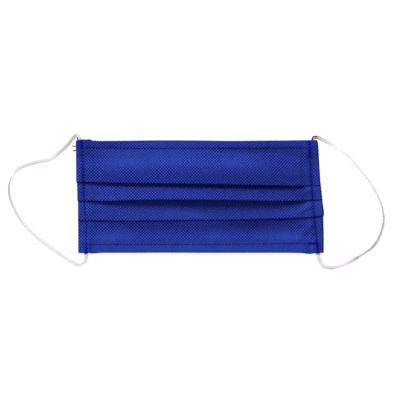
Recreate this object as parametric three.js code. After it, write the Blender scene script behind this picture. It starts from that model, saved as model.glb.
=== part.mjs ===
// A pleated cloth face mask that lies flat with its outer face up.
// Three pleats are folded downwards across the sheet, its four edges are turned back as hems,
// and a flat elastic ear loop is sewn into the corners at each side.
//
// Millimetres. +X runs to the right of the outer face, +Y to the mask's top edge and +Z up.
// The origin is under the middle of the mask, on the surface that it lies on.

import * as THREE from 'three';
import { mergeVertices } from 'three/addons/utils/BufferGeometryUtils.js';

// Driving sizes

const maskWidth = 182; // between the outermost points of the two side edges
const maskHeight = 82.6; // from the top edge to the bottom edge
const clothThickness = 1; // two plies of spunbond, sewn together
const layerGap = 0.2; // air between two layers of one sheet
const pieceGap = 0.3; // air between two pieces that rest on each other
const pleatDepth = 7.5; // how far each pleat is folded under
const pleatGape = 2.6; // how far the widest pleat stands open at its middle
const hemWidth = 9; // turned back along the top and bottom edges
const sideHemWidth = 9; // turned back along each side
const hemInnerRadius = 0.2; // of the inside of a hem's bend
const drapeLength = 4; // over which the sheet comes down from what it lies on
const topClimb = 9; // over which the top band climbs onto the first pleat
const shortestClimb = 2; // over which a band climbs onto the next pleat, at the least
const earlyClimb = 2; // how far inside a pleat its lowest layer starts to climb
const elasticWidth = 3;
const elasticThickness = 0.8;

// Lines across the mask, as shares of maskHeight down from the top: at the left edge, a quarter
// of the way across, the middle, three quarters across, and the right edge.
const TOP_EDGE = { left: 0, innerLeft: 0.005, middle: 0.003, innerRight: 0.002, right: 0 };
const BOTTOM_EDGE = { left: 1, innerLeft: 0.996, middle: 0.995, innerRight: 0.996, right: 1 };
const FOLD_EDGES = [
  { left: 0.371, innerLeft: 0.385, middle: 0.392, innerRight: 0.404, right: 0.403 },
  { left: 0.539, innerLeft: 0.533, middle: 0.532, innerRight: 0.539, right: 0.53 },
  { left: 0.713, innerLeft: 0.717, middle: 0.711, innerRight: 0.702, right: 0.669 },
];

// How far each pleat stands open at the same five places, as shares of pleatGape.
const FOLD_GAPES = [
  { left: 0, innerLeft: 0.45, middle: 0.7, innerRight: 0.65, right: 0 },
  { left: 0, innerLeft: 0.85, middle: 1, innerRight: 0.85, right: 0 },
  { left: 0, innerLeft: 0.15, middle: 0.2, innerRight: 0.45, right: 0 },
];

// The side edges lean, and step in below the last pleat: each row's place is a share of
// maskHeight, and its insets are shares of maskWidth.
const SIDE_EDGES = [
  { down: 0, leftInset: 0, rightInset: 0.028 },
  { down: 0.36, leftInset: 0.002, rightInset: 0.015 },
  { down: 0.54, leftInset: 0.006, rightInset: 0.006 },
  { down: 0.66, leftInset: 0.008, rightInset: 0 },
  { down: 0.69, leftInset: 0.008, rightInset: 0.003 },
  { down: 1, leftInset: 0.009, rightInset: 0.002 },
];

// The ear loops' routes: points chosen along each loop, in millimetres, from its upper end to its
// lower end. lift is the height of the band's lowest edge, as a share of the height at which it
// lies on a hem, and turn is its roll in degrees: 0 lies flat and 90 stands on edge.
const LEFT_ROUTE = [
  { x: -88, y: 34.5, lift: 1, turn: 0 },
  { x: -88, y: 39, lift: 1, turn: 0 },
  { x: -88.6, y: 43, lift: 0.77, turn: 6 },
  { x: -90.9, y: 45.2, lift: 0.54, turn: 22 },
  { x: -95.5, y: 41.2, lift: 0.15, turn: 20 },
  { x: -102.5, y: 33.6, lift: 0.08, turn: 50 },
  { x: -109.5, y: 28, lift: 0.08, turn: 70 },
  { x: -120, y: 25.5, lift: 0.08, turn: 64 },
  { x: -131, y: 22, lift: 0.08, turn: 60 },
  { x: -137.3, y: 17.3, lift: 0.08, turn: 76 },
  { x: -140, y: 9.4, lift: 0.08, turn: 84 },
  { x: -140.2, y: 2.5, lift: 0.08, turn: 78 },
  { x: -137.8, y: -6, lift: 0.08, turn: 70 },
  { x: -132.1, y: -16.6, lift: 0.08, turn: 68 },
  { x: -121.5, y: -28, lift: 0.08, turn: 62 },
  { x: -108, y: -38.3, lift: 0.08, turn: 46 },
  { x: -96.2, y: -46.4, lift: 0.08, turn: 36 },
  { x: -89.6, y: -49.5, lift: 0.15, turn: 40 },
  { x: -85.2, y: -48, lift: 0.4, turn: 24 },
  { x: -83.7, y: -43.6, lift: 0.77, turn: 6 },
  { x: -83.6, y: -39, lift: 1, turn: 0 },
  { x: -83.6, y: -34.5, lift: 1, turn: 0 },
];
const RIGHT_ROUTE = [
  { x: 82.6, y: 34.5, lift: 1, turn: 0 },
  { x: 82.6, y: 39, lift: 1, turn: 0 },
  { x: 83.1, y: 43.2, lift: 0.7, turn: -10 },
  { x: 85.6, y: 44.6, lift: 0.46, turn: -34 },
  { x: 90.5, y: 42.2, lift: 0.15, turn: -44 },
  { x: 97.4, y: 38, lift: 0.08, turn: -66 },
  { x: 107, y: 31.8, lift: 0.08, turn: -76 },
  { x: 115, y: 22.8, lift: 0.08, turn: -68 },
  { x: 122.6, y: 13.5, lift: 0.08, turn: -66 },
  { x: 129.3, y: 2.8, lift: 0.08, turn: -64 },
  { x: 133.8, y: -8.5, lift: 0.08, turn: -52 },
  { x: 134.8, y: -17.2, lift: 0.15, turn: -60 },
  { x: 132.9, y: -26.2, lift: 0.46, turn: -84 },
  { x: 127.6, y: -36.2, lift: 0.6, turn: -88 },
  { x: 117.8, y: -43.4, lift: 0.4, turn: -84 },
  { x: 104.5, y: -49.8, lift: 0.15, turn: -50 },
  { x: 95.5, y: -52.2, lift: 0.08, turn: -34 },
  { x: 89.6, y: -49.8, lift: 0.23, turn: -22 },
  { x: 87.1, y: -44.5, lift: 0.77, turn: -8 },
  { x: 86.7, y: -39, lift: 1, turn: 0 },
  { x: 86.7, y: -34.5, lift: 1, turn: 0 },
];

// How finely the shapes are divided

const middleColumns = 8; // between the two sides' own columns
const bendAngles = [60, 120]; // where the points of a fold's half turn lie
const climbRows = [1, 0.65, 0.35]; // of the top band, as shares of topClimb
const bandRows = [0.3, 0.55, 0.8]; // of the other bands, as shares of their free stretch
const elasticSteps = 40;
const tolerance = 1e-6;

// Worked out from the sizes

const topY = maskHeight / 2;
const layerPitch = clothThickness + layerGap;
const bendRadius = layerPitch / 2;
const foldReach = bendRadius + clothThickness / 2; // from a fold's edge to the middle of its bend
const clothRise = clothThickness + pieceGap; // how far a hem lifts what lies on it
const elasticRise = elasticThickness + pieceGap;
const edgeInset = clothThickness + pieceGap; // from a hem's outer face to the sheet inside it
const hemBendRadius = hemInnerRadius + clothThickness / 2;
const sewnEnds = [LEFT_ROUTE, RIGHT_ROUTE].flatMap((route) => [route[0], route.at(-1)]);
const elasticTuck = topY - Math.min(...sewnEnds.map((point) => Math.abs(point.y)));
const raisedEnd = Math.max(hemWidth, elasticTuck + pieceGap); // where the sheet lies on a hem

// 0 at and before `start`, 1 at and past `end`, smooth between; `end` may be below `start`.
function blend(start, end, at) {
  return THREE.MathUtils.smoothstep((at - start) / (end - start), 0, 1);
}

// The value of a line across the mask, at a share of its width.
function across(line, share) {
  const values = [line.left, line.innerLeft, line.middle, line.innerRight, line.right];
  const places = values.map((_, i) => i / (values.length - 1));
  const curve = new THREE.CubicInterpolant(places, values, 1, new Float32Array(1));
  return curve.evaluate(THREE.MathUtils.clamp(share, 0, 1))[0];
}

// The straight-line value of a column of SIDE_EDGES at a share of the height.
function sideInset(column, down) {
  const places = SIDE_EDGES.map((row) => row.down);
  const values = SIDE_EDGES.map((row) => row[column]);
  const line = new THREE.LinearInterpolant(places, values, 1, new Float32Array(1));
  return line.evaluate(THREE.MathUtils.clamp(down, 0, 1))[0] * maskWidth;
}

function leftEdge(y) {
  return -maskWidth / 2 + sideInset('leftInset', (topY - y) / maskHeight);
}

function rightEdge(y) {
  return maskWidth / 2 - sideInset('rightInset', (topY - y) / maskHeight);
}

// Where a line across the mask lies in a column. A column is a share of the way across, moved by
// an inset in millimetres, so that some keep their distance from a side edge.
function lineY(line, column) {
  return topY - maskHeight * across(line, column.share + column.inset / maskWidth);
}

function columnX(column, y) {
  return THREE.MathUtils.lerp(leftEdge(y), rightEdge(y), column.share) + column.inset;
}

function fromSide(column) {
  return column.share < 0.5
    ? column.share * maskWidth + column.inset
    : (1 - column.share) * maskWidth - column.inset;
}

// How high the sheet's underside lies in a column: on the hems, on the elastic's sewn ends, or on
// the surface.
function ground(column, y) {
  const top = lineY(TOP_EDGE, column);
  const bottom = lineY(BOTTOM_EDGE, column);
  const fromEnd = Math.min(top - y, y - bottom);
  const hemEnd = sideHemWidth + pieceGap;
  const onSideHem = blend(hemEnd + drapeLength, hemEnd, fromSide(column));
  const onEndHem = blend(raisedEnd + drapeLength, raisedEnd, fromEnd);
  return clothRise * Math.max(onSideHem, onEndHem) + elasticRise * onSideHem * onEndHem;
}

// The height of each band of the sheet above the ground, from the first to the last. A band climbs
// onto the pleat below it, and lies there on the pleat's two hidden layers.
function bandHeights(folds, tucks) {
  const heights = [() => 0];
  for (let k = folds.length - 1; k >= 0; k--) {
    const below = heights[0];
    const start =
      k > 0 ? Math.max(folds[k - 1] + earlyClimb, tucks[k] + shortestClimb) : tucks[k] + topClimb;
    heights.unshift(
      (y) => blend(start, tucks[k], y) * (below(Math.min(y, tucks[k])) + 2 * layerPitch),
    );
  }
  return heights;
}

// Half a turn from one layer to the next, without its two ends: at `y`, heading along `way`.
function bend(y, z, way, turn) {
  return bendAngles.map((degrees) => {
    const angle = THREE.MathUtils.degToRad(degrees);
    return {
      y: y + way * bendRadius * Math.sin(angle),
      z: z + turn * bendRadius * (1 - Math.cos(angle)),
    };
  });
}

// The middle of the cloth from the mask's top edge to its bottom edge, in one column.
function sheetSection(column) {
  const inSideHem = fromSide(column) <= sideHemWidth;
  const setBack = inSideHem ? 0 : edgeInset;
  const top = lineY(TOP_EDGE, column);
  const bottom = lineY(BOTTOM_EDGE, column);
  const share = column.share + column.inset / maskWidth;
  const folds = FOLD_EDGES.map((line) => lineY(line, column));
  const tucks = folds.map((y) => y + pleatDepth);
  const gapes = FOLD_GAPES.map((line) => Math.max(0, across(line, share)) * pleatGape);
  const heights = bandHeights(folds, tucks);
  const lie = (band, y) => ground(column, y) + clothThickness / 2 + heights[band](y);

  const points = [];
  const add = (band, ys, lift = () => 0) => {
    ys.forEach((y) => points.push({ y, z: lie(band, y) + lift(y) }));
  };

  const climbFrom = tucks[0] + topClimb;
  const hemFoot = Math.max(top - raisedEnd - drapeLength, climbFrom + pieceGap);
  const hemInner = Math.max(top - raisedEnd, hemFoot + pieceGap);
  add(0, [top - setBack, hemInner, (hemInner + hemFoot) / 2, hemFoot]);
  add(0, climbRows.map((share) => tucks[0] + topClimb * share));

  folds.forEach((fold, k) => {
    const tuck = tucks[k];
    const inner = tuck - foldReach;
    const outer = fold + foldReach;
    const middle = (inner + outer) / 2;
    const under = [inner, middle, Math.min(fold + earlyClimb, middle), outer];
    const gape = (y) => gapes[k] * blend(tuck, outer, y);
    const below = k + 1;

    add(k, [tuck + pieceGap, ...under], gape);
    points.push(...bend(outer, points.at(-1).z, -1, -1));
    add(below, under.slice().reverse(), (y) => layerPitch + gape(y));
    points.push(...bend(inner, points.at(-1).z, 1, -1));
    add(below, under);

    if (below < folds.length) {
      const climbEnd = tucks[below] + pieceGap;
      const run = Math.max(outer - climbEnd, 0);
      add(below, bandRows.map((part) => outer - run * part));
    }
  });

  const last = folds.length;
  const lastFold = folds[last - 1];
  const rise = Math.min(bottom + raisedEnd + drapeLength, lastFold - pieceGap);
  const flat = Math.min(bottom + raisedEnd, rise - pieceGap);
  add(last, [(lastFold + rise) / 2, rise, (rise + flat) / 2, flat, bottom + setBack]);
  return points;
}

// The two faces of a sheet whose middle follows the points of a section, in the section's plane.
function facesOf(section, along, up) {
  return section.map((point, i) => {
    const before = section[Math.max(i - 1, 0)];
    const after = section[Math.min(i + 1, section.length - 1)];
    const heading = new THREE.Vector2(after[along] - before[along], after[up] - before[up]).normalize();
    const half = clothThickness / 2;
    const offset = { along: heading.y * half, up: -heading.x * half };
    return {
      front: { ...point, [along]: point[along] + offset.along, [up]: point[up] + offset.up },
      back: { ...point, [along]: point[along] - offset.along, [up]: point[up] - offset.up },
    };
  });
}

// A closed sheet of cloth: a thin box with a row of vertices for each point of a section and a
// column for each section, moved to where `place` puts the two faces of each section.
function clothGeometry(sections, along, up, place) {
  const faces = sections.map((section) => facesOf(section, along, up));
  const columns = sections.length - 1;
  const rows = sections[0].length - 1;
  const geometry = new THREE.BoxGeometry(1, 1, 1, columns, rows, 1);
  geometry.deleteAttribute('normal');
  geometry.deleteAttribute('uv');
  const position = geometry.getAttribute('position');
  for (let i = 0; i < position.count; i++) {
    const column = Math.round((position.getX(i) + 0.5) * columns);
    const row = Math.round((0.5 - position.getY(i)) * rows);
    const face = position.getZ(i) > 0 ? 'front' : 'back';
    const spot = place(column, faces[column][row][face]);
    position.setXYZ(i, spot.x, spot.y, spot.z);
  }
  const closed = mergeVertices(geometry);
  closed.computeVertexNormals();
  return closed;
}

// Columns across the sheet: at its two side edges, at both sides of where the side hems end,
// where it has come down from them, and evenly between.
function sheetColumns() {
  const hemEnd = sideHemWidth + pieceGap;
  const insets = [edgeInset, sideHemWidth, hemEnd, hemEnd + drapeLength];
  const left = insets.map((inset) => ({ share: 0, inset }));
  const right = insets.map((inset) => ({ share: 1, inset: -inset })).reverse();
  const margin = (hemEnd + drapeLength) / maskWidth;
  const middle = Array.from({ length: middleColumns }, (_, i) => ({
    share: THREE.MathUtils.lerp(margin, 1 - margin, (i + 1) / (middleColumns + 1)),
    inset: 0,
  }));
  return [...left, ...middle, ...right];
}

// The pleated sheet itself.
function pleatedSheet() {
  const columns = sheetColumns();
  const place = (i, point) => ({ x: columnX(columns[i], point.y), y: point.y, z: point.z });
  return clothGeometry(columns.map(sheetSection), 'y', 'z', place);
}

// The middle of a hem's cloth: flat from its raw edge at `raw`, round its bend, and up to `height`
// with its outer face at `edge`.
function hemSection(raw, edge, height, along) {
  const way = Math.sign(edge - raw);
  const wall = edge - (way * clothThickness) / 2;
  const bendStart = wall - way * hemBendRadius;
  const halfTurn = hemBendRadius * Math.SQRT1_2;
  const low = clothThickness / 2;
  const lipTop = Math.max(height, low + hemBendRadius + pieceGap);
  return [
    { [along]: raw, z: low },
    { [along]: (raw + bendStart) / 2, z: low },
    { [along]: bendStart, z: low },
    { [along]: bendStart + way * halfTurn, z: low + hemBendRadius - halfTurn },
    { [along]: wall, z: low + hemBendRadius },
    { [along]: wall, z: lipTop },
  ];
}

// The hem along the top edge (way 1) or the bottom edge (way -1), between the two side hems.
function endHem(line, way) {
  const ends = 2 * pieceGap + sideHemWidth;
  const drapes = sheetColumns().filter((column) => fromSide(column) > ends);
  const columns = [{ share: 0, inset: ends }, ...drapes, { share: 1, inset: -ends }];
  const sections = columns.map((column) => {
    const edge = lineY(line, column);
    const height = ground(column, edge) + clothThickness;
    return hemSection(edge - way * hemWidth, edge, height, 'y');
  });
  if (way > 0) sections.forEach((section) => section.reverse());
  const place = (i, point) => ({ x: columnX(columns[i], point.y), y: point.y, z: point.z });
  return clothGeometry(sections, 'y', 'z', place);
}

// The highest point of a section's cloth at a place down the mask.
function sectionTop(section, y) {
  const middles = section.slice(1).flatMap((end, i) => {
    const start = section[i];
    const [low, high] = [Math.min(start.y, end.y), Math.max(start.y, end.y)];
    if (y < low - tolerance || y > high + tolerance) return [];
    const upright = high - low < tolerance;
    const share = upright ? 0 : (y - start.y) / (end.y - start.y);
    return [THREE.MathUtils.lerp(start.z, end.z, share)];
  });
  return Math.max(...middles) + clothThickness / 2;
}

// The hem along the left side (way -1) or the right side (way 1). Its outer wall ends level with
// the sheet's front face, so it steps down at each fold.
function sideHem(edgeAt, way) {
  const share = way < 0 ? 0 : 1;
  const section = sheetSection({ share, inset: -way * edgeInset });
  const shown = section.filter(
    (point) => point.z + clothThickness / 2 >= sectionTop(section, point.y) - tolerance,
  );
  const stations = shown.map((point) => ({ y: point.y, top: point.z + clothThickness / 2 }));
  const sections = stations.map(({ y, top }) => {
    const edge = edgeAt(y);
    const rows = hemSection(edge - way * sideHemWidth, edge, top, 'x').map((row) => ({ ...row, y }));
    return way < 0 ? rows : rows.reverse();
  });
  return clothGeometry(sections, 'x', 'z', (_, point) => point);
}

// A path along an ear loop whose frames roll the band as its route says.
class BandPath extends THREE.CatmullRomCurve3 {
  constructor(route) {
    const middle = ({ lift, turn }) => lift * clothRise + bandHalfHeight(turn);
    super(route.map((point) => new THREE.Vector3(point.x, point.y, middle(point))));
    this.turns = route.map((point) => point.turn);
    this.curveType = 'centripetal';
  }

  turnAt(share) {
    const place = this.getUtoTmapping(share) * (this.turns.length - 1);
    const start = Math.min(Math.floor(place), this.turns.length - 2);
    return THREE.MathUtils.lerp(this.turns[start], this.turns[start + 1], place - start);
  }

  computeFrenetFrames(segments) {
    const tangents = [];
    const normals = [];
    const binormals = [];
    for (let i = 0; i <= segments; i++) {
      const tangent = this.getTangentAt(i / segments);
      const side = new THREE.Vector3(0, 0, 1).cross(tangent).normalize();
      const roll = THREE.MathUtils.degToRad(this.turnAt(i / segments));
      const normal = side.applyAxisAngle(tangent, roll);
      tangents.push(tangent);
      normals.push(normal);
      binormals.push(tangent.clone().cross(normal));
    }
    return { tangents, normals, binormals };
  }
}

// Half the height of the band's section when it is rolled by `turn` degrees.
function bandHalfHeight(turn) {
  const angle = THREE.MathUtils.degToRad(Math.abs(turn));
  return (elasticWidth * Math.sin(angle) + elasticThickness * Math.cos(angle)) / 2;
}

// An ear loop: a flat band with eight sides along its route.
function earLoop(route) {
  const wide = elasticWidth / 2;
  const thick = elasticThickness / 2;
  const chamfer = elasticThickness / 4;
  const outline = new THREE.Shape([
    new THREE.Vector2(wide, -thick + chamfer),
    new THREE.Vector2(wide, thick - chamfer),
    new THREE.Vector2(wide - chamfer, thick),
    new THREE.Vector2(-wide + chamfer, thick),
    new THREE.Vector2(-wide, thick - chamfer),
    new THREE.Vector2(-wide, -thick + chamfer),
    new THREE.Vector2(-wide + chamfer, -thick),
    new THREE.Vector2(wide - chamfer, -thick),
  ]);
  return new THREE.ExtrudeGeometry(outline, { steps: elasticSteps, extrudePath: new BandPath(route) });
}

const blueCloth = { color: 0x26348f, roughness: 0.82, metalness: 0 };
const whiteElastic = { color: 0xe9e2ea, roughness: 0.7, metalness: 0 };

function piece(name, geometry, finish) {
  const mesh = new THREE.Mesh(geometry, new THREE.MeshStandardMaterial(finish));
  mesh.name = name;
  return mesh;
}

const mask = new THREE.Group();
mask.name = 'face_mask';
mask.add(
  piece('pleated_sheet', pleatedSheet(), blueCloth),
  piece('top_hem', endHem(TOP_EDGE, 1), blueCloth),
  piece('bottom_hem', endHem(BOTTOM_EDGE, -1), blueCloth),
  piece('left_side_hem', sideHem(leftEdge, -1), blueCloth),
  piece('right_side_hem', sideHem(rightEdge, 1), blueCloth),
  piece('left_ear_loop', earLoop(LEFT_ROUTE), whiteElastic),
  piece('right_ear_loop', earLoop(RIGHT_ROUTE), whiteElastic),
);

export default mask;
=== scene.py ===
import math

import bpy
import numpy as np
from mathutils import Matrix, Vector
from mathutils.bvhtree import BVHTree


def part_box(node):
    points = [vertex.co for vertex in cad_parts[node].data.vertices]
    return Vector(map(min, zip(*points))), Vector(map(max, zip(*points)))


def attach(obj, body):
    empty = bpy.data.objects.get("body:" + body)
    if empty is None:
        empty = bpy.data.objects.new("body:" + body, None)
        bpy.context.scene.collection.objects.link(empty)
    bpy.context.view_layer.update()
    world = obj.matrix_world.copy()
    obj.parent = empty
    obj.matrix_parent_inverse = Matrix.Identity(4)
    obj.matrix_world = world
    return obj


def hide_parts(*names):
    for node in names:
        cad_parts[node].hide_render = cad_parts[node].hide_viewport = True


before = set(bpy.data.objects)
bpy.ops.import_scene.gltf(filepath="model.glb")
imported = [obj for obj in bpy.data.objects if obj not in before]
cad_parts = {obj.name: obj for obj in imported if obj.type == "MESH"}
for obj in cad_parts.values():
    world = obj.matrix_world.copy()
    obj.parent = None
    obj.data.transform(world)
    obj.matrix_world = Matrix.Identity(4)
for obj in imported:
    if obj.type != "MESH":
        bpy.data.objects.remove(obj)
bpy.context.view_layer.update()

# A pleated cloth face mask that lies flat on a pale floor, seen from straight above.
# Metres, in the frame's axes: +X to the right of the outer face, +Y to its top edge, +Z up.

# Sizes of the cloth

MM = 0.001
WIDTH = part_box("right_side_hem")[1].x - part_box("left_side_hem")[0].x
TOP_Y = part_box("pleated_sheet")[1].y  # the bottom edge lies about as far below the middle
CLOTH = 0.5 * MM
LAYER = 0.6 * MM  # from one layer of cloth to the next
PLEAT_DEPTH = 7.5 * MM
HEM_WIDTH = 9 * MM
LOWEST = 0.02 * MM + CLOTH / 2  # the middle of the cloth that lies on the floor
FOLD_RADIUS = LAYER / 2
HEM_RISE = LAYER  # how far a hem lifts the sheet
ELASTIC_RISE = 0.95 * MM  # how far a sewn-in end of elastic lifts it
DRAPE = 5 * MM  # over which the sheet comes down from its hems
TOP_CLIMB = 10 * MM  # over which the first panel climbs onto the pleat below it
EARLY_CLIMB = 1.2 * MM  # how far above the fold before it each other panel may start to climb
WRAP_ZONE = 4 * MM  # the outer part of a side strip, which ends in its rounded edge
TUCK_IN = 0.15 * MM  # how far the hidden layers stay inside that edge

# Sizes of the elastic and the thread

ELASTIC_WIDTH = 3 * MM
ELASTIC_THICKNESS = 0.8 * MM
ELASTIC_ENDS = (0.0315, 0.0335)  # the sewn-in ends begin between these distances from the middle line
HEM_TOP = 0.56 * MM  # the height at which a band of elastic lies on a hem
THREAD_RADIUS = 0.26 * MM
THREAD_TWIST = 0.8 * MM
STITCH_LENGTH = 2.5 * MM
STITCH_GAP = 0.04  # at each end of a stitch, as a share of its length


def table(keys, *rows):
    """Rows of numbers, each number under its name in keys."""
    return [dict(zip(keys.split(), row)) for row in rows]


# The top edge, the three folds and the bottom edge at places across the mask, from 0 at its left
# side to 1 at its right. Each is a y in metres from the middle of the mask.
CROSS_LINES = table(
    "across top first second third bottom",
    (0.00, 0.0412, 0.0105, -0.0033, -0.0178, -0.0419),
    (0.02, 0.0420, 0.0104, -0.0033, -0.0178, -0.0420),
    (0.055, 0.0420, 0.0103, -0.0033, -0.0178, -0.0420),
    (0.068, 0.0411, 0.0102, -0.0034, -0.0179, -0.0419),
    (0.10, 0.0408, 0.0101, -0.0037, -0.0180, -0.0415),
    (0.20, 0.0409, 0.0097, -0.0031, -0.0181, -0.0415),
    (0.35, 0.0412, 0.0093, -0.0027, -0.0178, -0.0414),
    (0.50, 0.0411, 0.0090, -0.0027, -0.0174, -0.0415),
    (0.65, 0.0408, 0.0085, -0.0030, -0.0172, -0.0415),
    (0.78, 0.0410, 0.0079, -0.0034, -0.0166, -0.0415),
    (0.85, 0.0411, 0.0077, -0.0035, -0.0162, -0.0415),
    (0.91, 0.0412, 0.0076, -0.0033, -0.0156, -0.0417),
    (0.94, 0.0413, 0.0076, -0.0030, -0.0153, -0.0423),
    (0.97, 0.0415, 0.0077, -0.0028, -0.0148, -0.0422),
    (1.00, 0.0415, 0.0081, -0.0026, -0.0141, -0.0418),
)

# How far each pleat stands open at places across the mask
OPENINGS = table(
    "across first second third",
    (0.00, 0.0, 0.0, 0.0),
    (0.08, 1.6 * MM, 1.6 * MM, 0.0),
    (0.13, 2.0 * MM, 3.1 * MM, 0.1 * MM),
    (0.22, 2.7 * MM, 4.2 * MM, 0.08 * MM),
    (0.35, 3.1 * MM, 4.8 * MM, 0.08 * MM),
    (0.50, 4.0 * MM, 6.0 * MM, 0.08 * MM),
    (0.62, 4.0 * MM, 6.2 * MM, 0.10 * MM),
    (0.78, 3.6 * MM, 5.4 * MM, 0.5 * MM),
    (0.86, 3.1 * MM, 3.9 * MM, 0.9 * MM),
    (0.915, 2.2 * MM, 1.7 * MM, 0.6 * MM),
    (0.945, 0.0, 0.0, 0.4 * MM),
    (1.00, 0.0, 0.0, 0.0),
)

# The side edges from top to bottom, with small steps beside the folds
SIDE_LINES = table(
    "y left right",
    (0.0420, -0.0912, 0.0860),
    (0.0375, -0.0911, 0.0869),
    (0.0300, -0.0910, 0.0874),
    (0.0190, -0.0909, 0.0880),
    (0.0108, -0.0908, 0.0885),
    (0.0094, -0.0903, 0.0887),
    (-0.0028, -0.0899, 0.0900),
    (-0.0040, -0.0896, 0.0901),
    (-0.0132, -0.0895, 0.0912),
    (-0.0150, -0.0895, 0.0907),
    (-0.0300, -0.0894, 0.0910),
    (-0.0420, -0.0893, 0.0909),
)

# The seams. press is how deep each is pressed in, as a share of the cloth's height, and shade is painted
# shade along its pressed groove: how much darker the cloth is painted along it, over the distance spread.
SEAMS = {
    "seam_top": dict(
        thread="shaded_blue_thread", press=0.36, shade=0.25, spread=0.9 * MM,
        line=[(-0.0868, 0.0356), (-0.0500, 0.0352), (0.0000, 0.0353), (0.0400, 0.0352), (0.0772, 0.0356)],
    ),
    "seam_bottom": dict(
        thread="bright_blue_thread", press=0.12, shade=0.0, spread=0.9 * MM,
        line=[(-0.0868, -0.0350), (-0.0400, -0.0352), (0.0200, -0.0350), (0.0588, -0.0347),
              (0.0853, -0.0343)],
    ),
    "seam_left": dict(
        thread="bright_blue_thread", press=0.45, shade=0.25, spread=0.8 * MM,
        line=[(-0.0866, 0.0415), (-0.0864, 0.0350), (-0.0855, 0.0230), (-0.0848, 0.0010),
              (-0.0838, -0.0137), (-0.0833, -0.0250), (-0.0833, -0.0424)],
    ),
    "seam_right": dict(
        thread="blue_thread", press=0.4, shade=0.60, spread=1.7 * MM,
        line=[(0.0803, 0.0412), (0.0806, 0.0303), (0.0813, 0.0230), (0.0817, 0.0120), (0.0831, -0.0027),
              (0.0842, -0.0160), (0.0848, -0.0248), (0.0864, -0.0335), (0.0867, -0.0420)],
    ),
}

# Where the stitches run to and fro at a seam's end
TACKS = {
    "tack_top_left": dict(start=(-0.0867, 0.0418), end=(-0.0865, 0.0352)),
    "tack_bottom_left": dict(start=(-0.0833, -0.0362), end=(-0.0834, -0.0427)),
    "tack_top_right": dict(start=(0.0804, 0.0415), end=(0.0807, 0.0300)),
    "tack_bottom_right": dict(start=(0.0853, -0.0312), end=(0.0868, -0.0412)),
    "tack_bottom_row": dict(start=(0.0792, -0.0344), end=(0.0868, -0.0344)),
}

# Soft swells of the cloth, with how far each spreads along x and y
SWELLS = table(
    "x y wide high lift",
    (-0.024, 0.0215, 0.026, 0.006, 0.30 * MM),
    (0.026, 0.0200, 0.016, 0.006, 0.30 * MM),
    (-0.066, 0.0190, 0.012, 0.008, 0.40 * MM),
    (0.062, 0.0200, 0.014, 0.007, 0.35 * MM),
    (-0.068, -0.0350, 0.012, 0.0055, 0.50 * MM),
    (-0.025, -0.0350, 0.018, 0.0055, 0.40 * MM),
    (0.022, -0.0350, 0.014, 0.0055, 0.40 * MM),
    (0.062, -0.0350, 0.014, 0.0055, 0.60 * MM),
    (0.000, -0.0185, 0.060, 0.0045, 1.15 * MM),
)

# Creases that run in from the right seam, each a low ridge between two places
CREASES = [
    dict(start=(0.0850, 0.0070), end=(0.0720, 0.0008), lift=0.38 * MM, spread=1.5 * MM),
    dict(start=(0.0850, -0.0050), end=(0.0690, -0.0140), lift=0.75 * MM, spread=1.7 * MM),
    dict(start=(0.0855, -0.0170), end=(0.0690, -0.0345), lift=0.70 * MM, spread=2.0 * MM),
    dict(start=(0.0862, -0.0240), end=(0.0765, -0.0360), lift=0.35 * MM, spread=1.3 * MM),
]

# Places lighter (above 0) or darker (below 0) than the rest, with their spread along x and y: the cloth's
# cloudy tone, with painted sheen, painted highlights and painted shade where marked.
PATCHES = table(
    "x y wide high tone",
    # Lighter clouds: the cloth's cloudy tone with painted sheen.
    (-0.0550, 0.0267, 0.015, 0.0060, 0.55),
    (-0.0256, 0.0281, 0.020, 0.0048, 0.6),
    (0.0236, 0.0245, 0.012, 0.0045, 0.5),
    (-0.0132, -0.0130, 0.014, 0.0025, 0.6),
    (0.0100, -0.0120, 0.080, 0.0040, 0.3),
    (-0.0675, -0.0299, 0.009, 0.0040, 0.7),
    (-0.0565, -0.0277, 0.006, 0.0040, 0.5),
    (0.0118, -0.0292, 0.008, 0.0040, 0.5),
    (0.0625, -0.0299, 0.012, 0.0045, 0.9),
    # Darker places on the top hem and the top panel.
    (-0.0620, 0.0377, 0.014, 0.0035, -0.4),
    (-0.0780, 0.0300, 0.005, 0.0090, -0.3),
    # Painted shade just below the top seam.
    (0.0400, 0.0345, 0.036, 0.0025, -0.5),
    # Painted shade below the third fold.
    (0.0360, -0.0205, 0.034, 0.0036, -0.7),
    (-0.0400, -0.0215, 0.028, 0.0030, -0.45),
    # Darker stretches on the top panel.
    (0.0000, 0.0120, 0.090, 0.0040, -0.15),
    (0.0560, 0.0230, 0.028, 0.0100, -0.3),
    # Painted light on the bottom hem.
    (0.0000, -0.0390, 0.120, 0.0055, 0.7),
    # A lighter place on the top hem.
    (-0.0200, 0.0390, 0.040, 0.0040, 0.5),
    # A darker stretch between the first and second folds.
    (0.0480, 0.0025, 0.050, 0.0055, -0.45),
    # Lighter side strips.
    (0.0885, 0.0000, 0.004, 0.0400, 0.6),
    (-0.0885, 0.0000, 0.004, 0.0400, 0.2),
    # Painted shade along the upper part of the left seam's groove.
    (-0.0857, 0.0130, 0.0022, 0.0220, -0.6),
    # A painted highlight just above the bottom seam.
    (0.0000, -0.0336, 0.120, 0.0011, 0.4),
    # A darker stretch between the first and second folds.
    (-0.0200, 0.0035, 0.050, 0.0050, -0.2),
    # Painted shade at the top of the left edge and the bottom of the right edge.
    (-0.0885, 0.0390, 0.004, 0.0060, -0.5),
    (0.0875, -0.0375, 0.003, 0.0050, -0.6),
    # Painted light on the facets at the right ends of the first two folds.
    (0.0816, 0.0046, 0.004, 0.0030, 0.5),
    (0.0800, -0.0070, 0.004, 0.0030, 0.4),
)

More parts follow.
